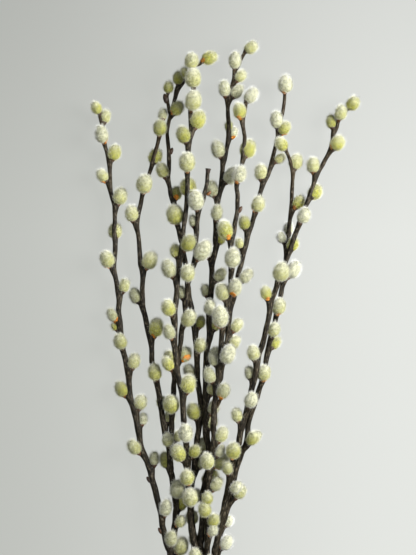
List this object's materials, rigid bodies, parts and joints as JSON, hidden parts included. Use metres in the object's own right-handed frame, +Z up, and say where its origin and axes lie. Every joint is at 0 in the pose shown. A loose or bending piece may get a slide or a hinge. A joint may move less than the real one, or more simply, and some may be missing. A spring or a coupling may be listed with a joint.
{
  "type": "willow branch",
  "caption": "Bunch of cut pussy willow branches with furry catkins, laid flat on a table and fanned out from its cut ends.",
  "frame": {"origin": "on the table, under the middle of the bunch's bounding box", "axes": "+Y along the bunch from the cut ends to the tips, +X to the bunch's right seen from above, +Z up from the table"},
  "size_m": [0.2684, 0.667, 0.046],
  "materials": {
    "bark": "dark brown, satin",
    "down": "silver white fur over yellow green",
    "bud_scale": "orange brown, satin"
  },
  "bodies": {
    "root": {"branch_1": "bark", "branch_2": "bark", "branch_3": "bark", "branch_4": "bark", "branch_5": "bark", "branch_6": "bark", "branch_7": "bark", "branch_8": "bark"}
  },
  "joints": []
}
